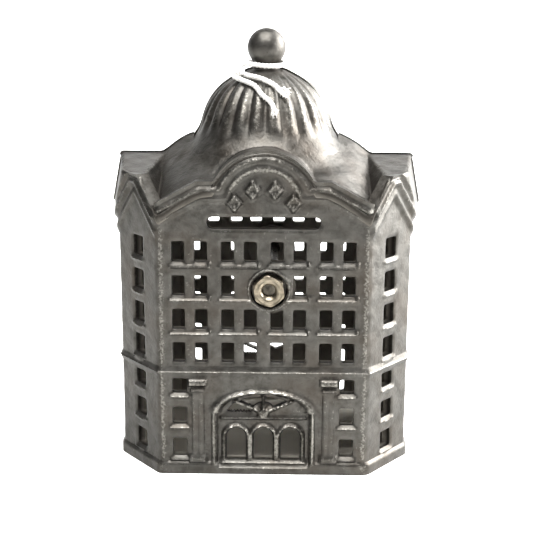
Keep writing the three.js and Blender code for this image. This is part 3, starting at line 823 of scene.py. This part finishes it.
def roof_piece(name, side, grow):
    """One half's roof: the height field clipped to its outline, rounded down at the eaves."""
    x, y = np.meshgrid(np.linspace(-40, 40, 201), np.linspace(-28, -seam_gap, 71), indexing="ij")

    def edge(u, v):
        return -roof_edge(u, v)

    held = y > -0.2
    sx, sy = snapped(x, y, edge, 0.24)
    sx, sy = np.where(held, x, sx), np.where(held, y, sy)
    distance = edge(sx, sy)
    rim = np.where(np.hypot(sx, sy) < 21, 0, np.clip(1 - distance / 1.0, 0, 1))
    height = roof_height(sx, sy)
    top = height - 0.75 * (1 - np.sqrt(np.maximum(1 - rim ** 2, 0)))
    top = top + 0.06 * np.sin(sx * 0.8) * np.sin(sy * 0.9 + 1)
    quads, triangles = kept_faces(sx, sy, edge)
    grown = 1 + grow / 40
    front = np.stack([sx * grown, sy * grown, top + 0.9 * grow], -1).reshape(-1, 3)
    back = np.stack([sx * 0.985, sy * 0.98, height - roof_thickness], -1).reshape(-1, 3)
    # The roof stops a hair behind the walls' end face, so that the two never lie in one plane.
    front[:, 1] = np.where(held.ravel(), -0.18, front[:, 1])
    back[:, 1] = np.where(held.ravel(), -0.18, back[:, 1])
    points, quads, triangles, used = closed_sheet(front, back, quads, triangles)
    # Painted shade: the gutter where each gable's inner slope meets the low roof gets the dark hollow
    # colour.
    gutter_painted_shade = smoothstep(np.abs(sx), 25.5, 27.0) * (1 - smoothstep(height, 76.5, 78.3))
    wear_and_painted_light = np.clip(grid_wear(top, distance, 0.35) - 0.35 * gutter_painted_shade, 0, 1).ravel()
    wear_and_painted_light = np.concatenate([wear_and_painted_light, np.full(len(wear_and_painted_light), -1.0)])[used]
    return half_piece(name, side, points, quads, triangles, wear_and_painted_light)


roof_piece("front_roof", -1, 0.0)
roof_piece("rear_roof", 1, rear_growth)

# %% [markdown]
# ## The dome
# Twenty-four flutes run up the dome, fading into its smooth skirt below and its round cap
# above. A lathe gives a smooth dome; here the radius at each angle is also cut by a groove that
# is narrow and round, so the lobes between stay wide, as on a melon.

# %% Dome
flutes = 24


def dome_piece(name, side, grow):
    """Half a dome: radius by the profile, less a groove by the angle, faded low and high."""
    across, up = flutes * 11 + 1, 76
    profile = dome_profile[3:]
    path = np.concatenate([[0], np.cumsum(np.hypot(*np.diff(profile, axis=0).T))])
    where = np.linspace(0, path[-1], up)
    radius = np.interp(where, path, profile[:, 0])
    height = np.interp(where, path, profile[:, 1])
    for _ in range(3):
        radius[1:-1] = (radius[:-2] + 2 * radius[1:-1] + radius[2:]) / 4
        height[1:-1] = (height[:-2] + 2 * height[1:-1] + height[2:]) / 4
    height = height - 0.5 * smoothstep(radius, 20.8, 22.2)
    angle = np.linspace(-math.pi, 0, across)[:, None]
    r, z = radius[None, :] + 0 * angle, height[None, :] + 0 * angle
    fade = smoothstep(z, 85.8, 92.5) * (1 - smoothstep(z, 101.2, 103.0))
    phase = angle * flutes / (2 * math.pi)
    uneven = 1 + 0.25 * np.sin(angle * 5 + 1.0)
    groove = np.exp(-((np.abs(((phase + 0.5) % 1) - 0.5) / 0.17) ** 2)) * uneven
    lobe = np.cos(2 * math.pi * phase)
    depth = fade * r * (0.018 * groove + 0.014 * lobe)
    out = r - depth + 0.06 * np.sin(angle * 13 + z * 0.5)
    outside, inside = out + grow, r - wall_thickness
    ceiling = z - 1.2 * smoothstep(z, 90, 103)
    outer = np.stack([outside * np.cos(angle), outside * np.sin(angle), z + grow * 0.9], -1)
    inner = np.stack([inside * np.cos(angle), inside * np.sin(angle), ceiling], -1)
    outer[..., 1] = np.minimum(outer[..., 1], -0.21)
    inner[..., 1] = np.minimum(inner[..., 1], -0.21)
    quads = grid_faces(across, up)
    none = np.zeros((0, 3), int)
    points, quads, triangles, used = closed_sheet(outer.reshape(-1, 3), inner.reshape(-1, 3), quads, none)
    wear_and_painted_light = np.clip(0.5 - 0.45 * depth + 0.12 * fade, 0, 1).ravel()
    wear_and_painted_light = np.concatenate([wear_and_painted_light, np.full(len(wear_and_painted_light), -1.0)])[used]
    return half_piece(name, side, points, quads, triangles, wear_and_painted_light, 50)


dome_piece("front_dome", -1, 0.0)
dome_piece("rear_dome", 1, rear_growth)

# %% [markdown]
# ## Turned and round pieces
# The ball finial with its neck, and the round boss that the nut sits in, are shapes turned on
# the pattern maker's lathe: a profile carried round an axis.

# %% Ball finial
def turned_piece(name, profile, steps, axis, place, body, replaces, wear_and_painted_light, smooth=35):
    """Carries a closed profile of (radius, along) round an axis, "z" or "y", through place."""
    profile = np.asarray(profile, float)
    angle = np.linspace(0, 2 * math.pi, steps, endpoint=False)[:, None]
    r, t = profile[None, :, 0], profile[None, :, 1]
    one, two, along = r * np.cos(angle), r * np.sin(angle), t + 0 * angle
    parts = (one, two, along) if axis == "z" else (one, along, two)
    points = np.stack(parts, -1).reshape(-1, 3) + np.asarray(place)
    quads = grid_faces(steps, len(profile), True, True)
    if axis == "z":
        quads = quads[:, ::-1]
    piece = mesh_piece(name, points, [quads], body, cast_iron, replaces, smooth)
    store_wear_and_light(piece, np.tile(wear_and_painted_light, steps))
    return piece


def smooth_chain(points, count):
    """Points evenly spaced along a chain through the given ones, its corners eased twice."""
    points = np.asarray(points, float)
    path = np.concatenate([[0], np.cumsum(np.hypot(*np.diff(points, axis=0).T))])
    where = np.linspace(0, path[-1], count)
    chain = np.stack([np.interp(where, path, points[:, k]) for k in (0, 1)], 1)
    for _ in range(2):
        chain[1:-1] = (chain[:-2] + 2 * chain[1:-1] + chain[2:]) / 4
    return chain


ball_radius, ball_centre, neck_radius = 5.05, 109.25, 3.45
start = -math.acos(neck_radius / ball_radius)
ball_angle = np.linspace(start + 0.12, math.pi / 2 - 0.002, 26)
ball = np.stack([ball_radius * np.cos(ball_angle), ball_centre + ball_radius * np.sin(ball_angle)], 1)
neck = smooth_chain([(3.55, 102.3), (3.6, 103.6), (3.5, 104.0), (3.4, 104.7), (3.55, 105.4),
                     tuple(ball[0])], 12)
finial_profile = np.concatenate([[(0.01, 101.2), (3.55, 101.2)], neck[:-1], ball])
turned_piece("ball_finial", finial_profile, 56, "z", (0, 0, 0), "front", ["front_shell"],
             np.full(len(finial_profile), 0.5))

# %% [markdown]
# The boss is a round cup cast into the wall: a low rounded rim outside, a straight side down to
# a flat floor, and a thicker pad behind with the hole for the screw.

# %% Bosses
def boss_piece(name, side, grow):
    """The cup: rim, recess, floor, bolt hole and the pad behind, as one closed profile."""
    face = -half_depth - grow
    rim = smooth_chain([(5.75, 0.5), (5.6, 0.0), (5.5, -0.5), (5.2, -0.66), (4.95, -0.55),
                        (4.75, -0.2), (4.72, 1.6), (4.6, 1.78), (2.5, 1.8)], 30)
    back = np.array([(2.4, 1.9), (2.4, 5.45), (2.5, 5.5), (6.7, 5.5), (6.85, 5.35), (6.85, 2.45),
                     (5.9, 2.4)])
    profile = np.concatenate([rim, back])
    profile[:, 1] += face
    rim_wear = np.interp(rim[:, 1], [-0.66, 0.0, 1.8], [0.8, 0.5, 0.3])
    wear_and_painted_light = np.concatenate([rim_wear, np.full(len(back), -1.0)])
    if side > 0:
        profile[:, 1] *= -1
        profile, wear_and_painted_light = profile[::-1], wear_and_painted_light[::-1]
    body = "rear" if side > 0 else "front"
    return turned_piece(name, profile, 56, "y", (bolt[0], 0, bolt[1]), body, [f"{body}_shell"], wear_and_painted_light)


boss_piece("front_boss", -1, 0.0)
boss_piece("rear_boss", 1, rear_growth)

# %% [markdown]
# ## Floors
# Each half has its own half floor, cast with the walls, so the bank is closed underneath.

# %% Floors
floor_top, bite = 2.6, 0.6


def floor_piece(name, side):
    """A plate that fills the plan between the walls and bites into them, a little rough on top."""
    x, y = np.meshgrid(np.linspace(-39, 39, 131), np.linspace(-27, -0.24, 46), indexing="ij")
    nx, ny = math.sin(corner_angle), -math.cos(corner_angle)

    def edge(u, v):
        a = np.abs(u)
        slanted = (a - facade_half) * nx + (v + half_depth) * ny + bite
        return -np.maximum(np.maximum(-half_depth + bite - v, a - half_width + bite), slanted)

    held = y > -0.3
    sx, sy = snapped(x, y, edge, 0.35)
    sx, sy = np.where(held, x, sx), np.where(held, y, sy)
    quads, triangles = kept_faces(sx, sy, edge)
    top = floor_top + 0.02 * np.sin(sx * 0.7) * np.sin(sy * 0.8)
    front = np.stack([sx, sy, top], -1).reshape(-1, 3)
    back = np.stack([sx, sy, 0 * top + 0.1], -1).reshape(-1, 3)
    points, quads, triangles, _ = closed_sheet(front, back, quads, triangles)
    # The floor's top is painted pale to stand for the lit floor inside; its underside is plain iron.
    wear_and_painted_light = np.where(points[:, 2] > 1.5, -2.0, 0.4)
    return half_piece(name, side, points, quads, triangles, wear_and_painted_light)


floor_piece("front_floor", -1)
floor_piece("rear_floor", 1)

# %% [markdown]
# ## Screw and nut
# A replacement screw and nut of nickel-plated steel. The plating is warm and dull from age,
# brighter on the worn flats. The screw's imported shape is right, so it stays and gets a finish.

# %% Plated steel
def plated_steel_material(name, bright, dark):
    """Old nickel plate: warm grey metal, with tarnish in cloudy patches and fine scratches."""
    material, tree, output = new_material(name)
    place = add_node(tree, "ShaderNodeTexCoord").outputs["Object"]
    cloud = add_node(tree, "ShaderNodeTexNoise", Vector=place, Scale=500.0, Detail=4.0, Roughness=0.6)
    scratch = add_node(tree, "ShaderNodeTexNoise", Vector=place, Scale=2600.0, Detail=2.0)
    tone = ramp(tree, cloud.outputs["Fac"], [(0.3, dark), (0.62, bright)])
    rough = add_node(tree, "ShaderNodeMapRange", Value=cloud.outputs["Fac"], From_Min=0.3, From_Max=0.7,
                     To_Min=0.42, To_Max=0.24)
    bump = add_node(tree, "ShaderNodeBump", Strength=0.35, Distance=0.0001, Height=scratch.outputs["Fac"])
    shader = add_node(tree, "ShaderNodeBsdfPrincipled", Base_Color=tone, Metallic=1.0,
                      Roughness=rough.outputs[0], Normal=bump.outputs[0])
    tree.links.new(shader.outputs[0], output.inputs[0])
    return material


nickel_nut = plated_steel_material("old nickel plated steel", "9a907e", "5b5448")
steel_screw = plated_steel_material("dull zinc plated steel", "5a554c", "2b2824")
screw_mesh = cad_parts["clamp_screw"].data
screw_mesh.materials.clear()
screw_mesh.materials.append(steel_screw)

# %% [markdown]
# The nut is a hexagon whose corners are cut by a cone at each end, with a threaded hole that
# starts in a countersink. Going round by angle and along a profile of rings, the hexagon is
# only a radius that depends on the angle: half the flats over the cosine of the angle from the
# middle of a flat. Each ring takes the lesser of that and its own round radius.

# %% Nut
def nut_piece():
    """Rings from the back of the hole, over the outside, and down the threaded hole again."""
    low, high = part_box("hex_nut")
    front, back = low.y / MM, high.y / MM
    centre = ((low.x + high.x) / 2 / MM, (low.z + high.z) / 2 / MM)
    angle = np.linspace(0, 2 * math.pi, 96, endpoint=False)[:, None]
    half_flats, corner, bore, pitch, left_turned = 3.75, 4.24, 1.8, 0.7, math.radians(22)
    hexagon = half_flats / np.cos((angle + left_turned) % (math.pi / 3) - math.pi / 6)
    hexagon = np.minimum(hexagon, corner)
    outside = [(2.2, back), (3.65, back), (4.0, back - 0.1), (4.3, back - 0.4), (4.4, back - 1.2),
               (4.4, front + 1.0), (4.3, front + 0.5), (4.1, front + 0.25), (3.85, front + 0.08)]
    face = [(3.65, front), (3.5, front + 0.02), (3.35, front + 0.12), (2.9, front + 0.12),
            (2.7, front), (2.35, front), (2.2, front + 0.08), (2.0, front + 0.25), (1.82, front + 0.45)]
    rings = outside + face
    thread = np.arange(front + 0.55, back - 0.2, 0.116)
    radius = np.array([r for r, _ in rings] + [bore] * len(thread))[None, :]
    along = np.array([y for _, y in rings] + list(thread))[None, :]
    in_thread = (along > front + 0.5) & (radius == bore)
    ridge = 0.13 * np.sin(2 * math.pi * along / pitch + angle) * in_thread
    r = np.minimum(radius, hexagon) + ridge
    points = np.stack([centre[0] + r * np.cos(angle), along + 0 * r, centre[1] + r * np.sin(angle)], -1)
    quads = grid_faces(96, r.shape[1], True, True)
    return mesh_piece("hex_nut_finished", points.reshape(-1, 3), [quads], "nut", nickel_nut,
                      ["hex_nut"], 30)


nut_piece()

# %% [markdown]
# ## The tag string
# White cotton, a soft thread of three plies about 1.2 mm thick, tied round the neck with its
# ends left hanging on the dome. A twisted thread is a tube whose section is three round lobes
# that turn as they go along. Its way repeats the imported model's.

# %% String
string_path = np.array([
    [3.9, -13.3, 98.8], [2.6, -12.1, 100.1], [0.5, -10.8, 101.2], [-1.9, -9.5, 102.0],
    [-4.9, -7.5, 102.5], [-6.9, -4.6, 103.1], [-6.5, -1.2, 104.6], [-4.2, 2.2, 105.3],
    [-0.6, 4.7, 105.4], [3.4, 3.3, 105.4], [4.8, -0.4, 105.0], [3.1, -3.7, 104.7],
    [-0.3, -5.0, 104.7], [-3.6, -4.8, 105.1], [-6.3, -5.3, 105.4], [-8.5, -6.2, 104.1],
    [-8.2, -7.9, 102.2], [-6.0, -8.8, 101.3], [-4.3, -10.4, 100.8], [-2.7, -12.0, 100.1],
    [-0.9, -14.2, 98.1], [0.7, -15.1, 96.9], [1.7, -15.6, 95.8], [2.2, -16.0, 94.6],
])


def smooth_route(points, count):
    """A curve through all the points: a Catmull-Rom spline whose speed follows the spacing."""
    ends = np.concatenate([[2 * points[0] - points[1]], points, [2 * points[-1] - points[-2]]])
    gaps = np.sqrt(np.linalg.norm(np.diff(ends, axis=0), axis=1))
    knots = np.concatenate([[0], np.cumsum(gaps)])
    where = np.linspace(knots[1], knots[-2], count)
    i = np.clip(np.searchsorted(knots, where, side="right") - 1, 1, len(points) - 1)
    i = np.minimum(i, len(ends) - 3)
    p = [ends[i + k] for k in (-1, 0, 1, 2)]
    t = [knots[i + k][:, None] for k in (-1, 0, 1, 2)]
    w = where[:, None]

    def mix(a, b, ta, tb):
        return a * (tb - w) / (tb - ta) + b * (w - ta) / (tb - ta)

    a1, a2, a3 = mix(p[0], p[1], t[0], t[1]), mix(p[1], p[2], t[1], t[2]), mix(p[2], p[3], t[2], t[3])
    b1, b2 = mix(a1, a2, t[0], t[2]), mix(a2, a3, t[1], t[3])
    curve = mix(b1, b2, t[1], t[2])
    path = np.concatenate([[0], np.cumsum(np.linalg.norm(np.diff(curve, axis=0), axis=1))])
    even = np.linspace(0, path[-1], count)
    return np.stack([np.interp(even, path, curve[:, k]) for k in range(3)], 1), path[-1]


def thread_tube(route, radius, plies, lay, lobes, around, taper=0.0):
    """A tube along the route. Its radius rises by lobes times the cosine of plies x the angle,
    and the section turns once in each lay, as the plies of a thread do."""
    tangent = np.gradient(route, axis=0)
    tangent /= np.linalg.norm(tangent, axis=1)[:, None]
    side = np.cross(tangent, np.array([0.31, 0.22, 0.93]))
    side /= np.linalg.norm(side, axis=1)[:, None]
    over = np.cross(tangent, side)
    length = np.concatenate([[0], np.cumsum(np.linalg.norm(np.diff(route, axis=0), axis=1))])
    angle = np.linspace(0, 2 * math.pi, around, endpoint=False)
    turn_at = angle[None, :] - 2 * math.pi * length[:, None] / lay
    size = radius * (1 + lobes * np.cos(plies * turn_at) - lobes)
    fluff = 1 + 0.05 * np.sin(length[:, None] * 7.0 + 3 * angle[None, :])
    if taper:
        size = size * np.clip((length[-1] - length[:, None]) / taper, 0.15, 1) ** 0.5
    size = size * fluff
    points = (route[:, None, :] + size[..., None] * (np.cos(angle)[None, :, None] * side[:, None, :]
                                                     + np.sin(angle)[None, :, None] * over[:, None, :]))
    count = len(route)
    quads = grid_faces(count, around, False, True)
    points = np.concatenate([points.reshape(-1, 3), route[:1], route[-1:]])
    ring = np.arange(around)
    first = np.stack([np.full(around, count * around), (ring + 1) % around, ring], 1)
    last_ring = ring + (count - 1) * around
    next_ring = (ring + 1) % around + (count - 1) * around
    last = np.stack([np.full(around, count * around + 1), last_ring, next_ring], 1)
    return points, quads[:, ::-1], np.concatenate([first, last])[:, ::-1]


def cotton_material():
    """Soft white cotton: matt, a little warm, with a sheen of loose fibres."""
    material, tree, output = new_material("soft white cotton")
    place = add_node(tree, "ShaderNodeTexCoord").outputs["Object"]
    fibre = add_node(tree, "ShaderNodeTexNoise", Vector=place, Scale=2200.0, Detail=3.0, Roughness=0.7)
    tone = ramp(tree, fibre.outputs["Fac"], [(0.3, "cbc9c4"), (0.6, "e9e7e3")])
    bump = add_node(tree, "ShaderNodeBump", Strength=0.6, Distance=0.00012, Height=fibre.outputs["Fac"])
    shader = add_node(tree, "ShaderNodeBsdfPrincipled", Base_Color=tone, Roughness=0.85,
                      Normal=bump.outputs[0], Sheen_Weight=0.4, Sheen_Roughness=0.5)
    tree.links.new(shader.outputs[0], output.inputs[0])
    return material


cotton = cotton_material()
ply_lay = 3.2
route, string_length = smooth_route(string_path, 420)
points, quads, triangles = thread_tube(route, 0.66, 3, ply_lay, 0.1, 16)
string = mesh_piece("cotton_string", points, [quads, triangles], "front", cotton,
                    ["tag_string"], 60)
print("string length", round(float(string_length), 1), "mm")

# %% [markdown]
# The cut ends have come open into tufts of fine fibres, and the thread is hitched round itself
# at the left of the neck. A fibre is a thin tube that leaves the end and bends its own way.

# %% Tufts and hitch
def tuft(name, end, direction, fibres, length, spread, seed):
    """Fibres from one end: each bends from the direction of the thread to its own."""
    chance = np.random.default_rng(seed)
    direction = np.asarray(direction, float) / np.linalg.norm(direction)
    all_points, all_quads, all_triangles, count = [], [], [], 0
    for _ in range(fibres):
        lean = direction + spread * chance.normal(size=3)
        lean /= np.linalg.norm(lean)
        start = np.asarray(end) + 0.3 * chance.normal(size=3)
        t = np.linspace(0, 1, 9)[:, None]
        reach = length * chance.uniform(0.55, 1.0)
        curl = 0.35 * chance.normal(size=3) * np.sin(math.pi * t)
        line = start - direction * 0.5 + reach * (t * direction * (1 - 0.5 * t) + 0.5 * t * t * lean) + curl
        fibre_points, quads, triangles = thread_tube(line, 0.16, 2, 3.0, 0.1, 6, 0.8)
        all_points.append(fibre_points)
        all_quads.append(quads + count)
        all_triangles.append(triangles + count)
        count += len(fibre_points)
    faces = [np.concatenate(all_quads), np.concatenate(all_triangles)]
    return mesh_piece(name, np.concatenate(all_points), faces, "front", cotton, (), 60)


def hitch(name, centre, normal, radius, turns):
    """A short coil of the thread: a helix of so many turns about the normal, drawn tight."""
    normal = np.asarray(normal, float) / np.linalg.norm(normal)
    side = np.cross(normal, [0, 0, 1.0])
    side /= np.linalg.norm(side)
    over = np.cross(normal, side)
    t = np.linspace(0, 2 * math.pi * turns, 60)[:, None]
    rise = (t / (2 * math.pi) - turns / 2) * 1.0
    line = np.asarray(centre) + radius * (np.cos(t) * side + np.sin(t) * over) + rise * normal
    coil, quads, triangles = thread_tube(line, 0.55, 3, ply_lay, 0.12, 12)
    return mesh_piece(name, coil, [quads, triangles], "front", cotton, (), 60)


tuft_high = tuft("tuft_high", string_path[0] + [0.2, -0.5, 0.2], [0.9, -0.45, -0.35], 64, 3.3, 0.8, 3)
tuft_low = tuft("tuft_low", string_path[-1] + [0, -0.3, 0], [0.25, -0.45, -0.9], 34, 2.4, 0.5, 5)
string_hitch = hitch("string_hitch", [-6.9, -7.2, 103.0], [0.9, -0.35, -0.3], 0.75, 2)

# %% [markdown]
# ## Floor, light and background
# A pale sheet under the bank, bent up behind it, and soft light from large panels: a strong one
# low on the right, one high behind it, one overhead and a weak one in front, in a pale room.
# Iron shows whatever it mirrors, so the sheet and the room are dimmer to the iron than to the
# camera: a white sheet would otherwise turn the dark casting pale.

# %% Floor and backdrop
def pale_paper_material():
    """Matt white paper, lit up to the white of a light table where it is seen directly."""
    material, tree, output = new_material("matt white paper")
    place = add_node(tree, "ShaderNodeTexCoord").outputs["Object"]
    cloud = add_node(tree, "ShaderNodeTexNoise", Vector=place, Scale=6.0, Detail=2.0)
    paper = ramp(tree, cloud.outputs["Fac"], [(0.3, "f2f2f1"), (0.7, "f8f8f7")])
    shaded = ramp(tree, cloud.outputs["Fac"], [(0.3, "cbcbca"), (0.7, "d1d1cf")])
    seen = add_node(tree, "ShaderNodeLightPath").outputs["Is Camera Ray"]
    tone = add_node(tree, "ShaderNodeMix", {"data_type": "RGBA"}, n0=seen, n6=shaded, n7=paper).outputs[2]
    lift = arithmetic(tree, "MULTIPLY_ADD", seen, 0.45, 0.06)
    shader = add_node(tree, "ShaderNodeBsdfPrincipled", Base_Color=tone, Roughness=0.9,
                      Emission_Color=colour("fbfcff"), Emission_Strength=lift)
    tree.links.new(shader.outputs[0], output.inputs[0])
    return material


def backdrop():
    """A sheet that lies flat and then bends up through a quarter circle behind the bank."""
    bend = np.linspace(0, math.pi / 2, 24)
    y = np.concatenate([[-1500, -400, 200], 500 + 500 * np.sin(bend), [1000.0]])
    z = np.concatenate([[0, 0, 0], 500 - 500 * np.cos(bend), [1800.0]])
    x = np.linspace(-1800, 1800, 13)
    gx, gy = np.meshgrid(x, y, indexing="ij")
    gz = np.broadcast_to(z, gx.shape)
    points = np.stack([gx, gy, gz - 0.02], -1).reshape(-1, 3)
    mesh = bpy.data.meshes.new("paper_floor")
    mesh.from_pydata([tuple(p) for p in (points * MM).tolist()], [], grid_faces(*gx.shape).tolist())
    mesh.polygons.foreach_set("use_smooth", np.ones(len(mesh.polygons), bool))
    sheet = bpy.data.objects.new("paper_floor", mesh)
    bpy.context.scene.collection.objects.link(sheet)
    mesh.materials.append(pale_paper_material())
    return sheet


paper_floor = backdrop()
print("paper", round(paper_floor.dimensions.x, 2), "m wide")

# %% Lights
def soft_panel(name, place, aim, size, watts, tint="ffffff"):
    """A square area light at place, turned to face aim."""
    light = bpy.data.lights.new(name, "AREA")
    light.shape = "SQUARE"
    light.size = size
    light.energy = watts
    light.color = colour(tint)[:3]
    panel = bpy.data.objects.new(name, light)
    panel.location = place
    panel.rotation_euler = (Vector(aim) - Vector(place)).to_track_quat("-Z", "Y").to_euler()
    bpy.context.scene.collection.objects.link(panel)
    return panel


aim = (0, 0, 0.06)
soft_panel("window_right", (0.85, 0.15, 0.22), aim, 0.9, 42.0)
soft_panel("window_behind", (0.74, 0.38, 0.62), aim, 0.7, 16.0)
soft_panel("overhead", (-0.05, -0.3, 1.0), aim, 0.8, 26.0)
soft_panel("room_front", (-0.2, -1.3, 0.9), aim, 0.8, 3.0)
world = bpy.data.worlds.new("dim room")
bpy.context.scene.world = world
world.use_nodes = True
room = world.node_tree.nodes["Background"]
room.inputs[0].default_value = colour("f4f5f7")
seen = add_node(world.node_tree, "ShaderNodeLightPath").outputs["Is Camera Ray"]
world.node_tree.links.new(arithmetic(world.node_tree, "MULTIPLY_ADD", seen, 0.83, 0.185), room.inputs[1])
bpy.context.scene.view_settings.view_transform = "Standard"
print("lights placed")
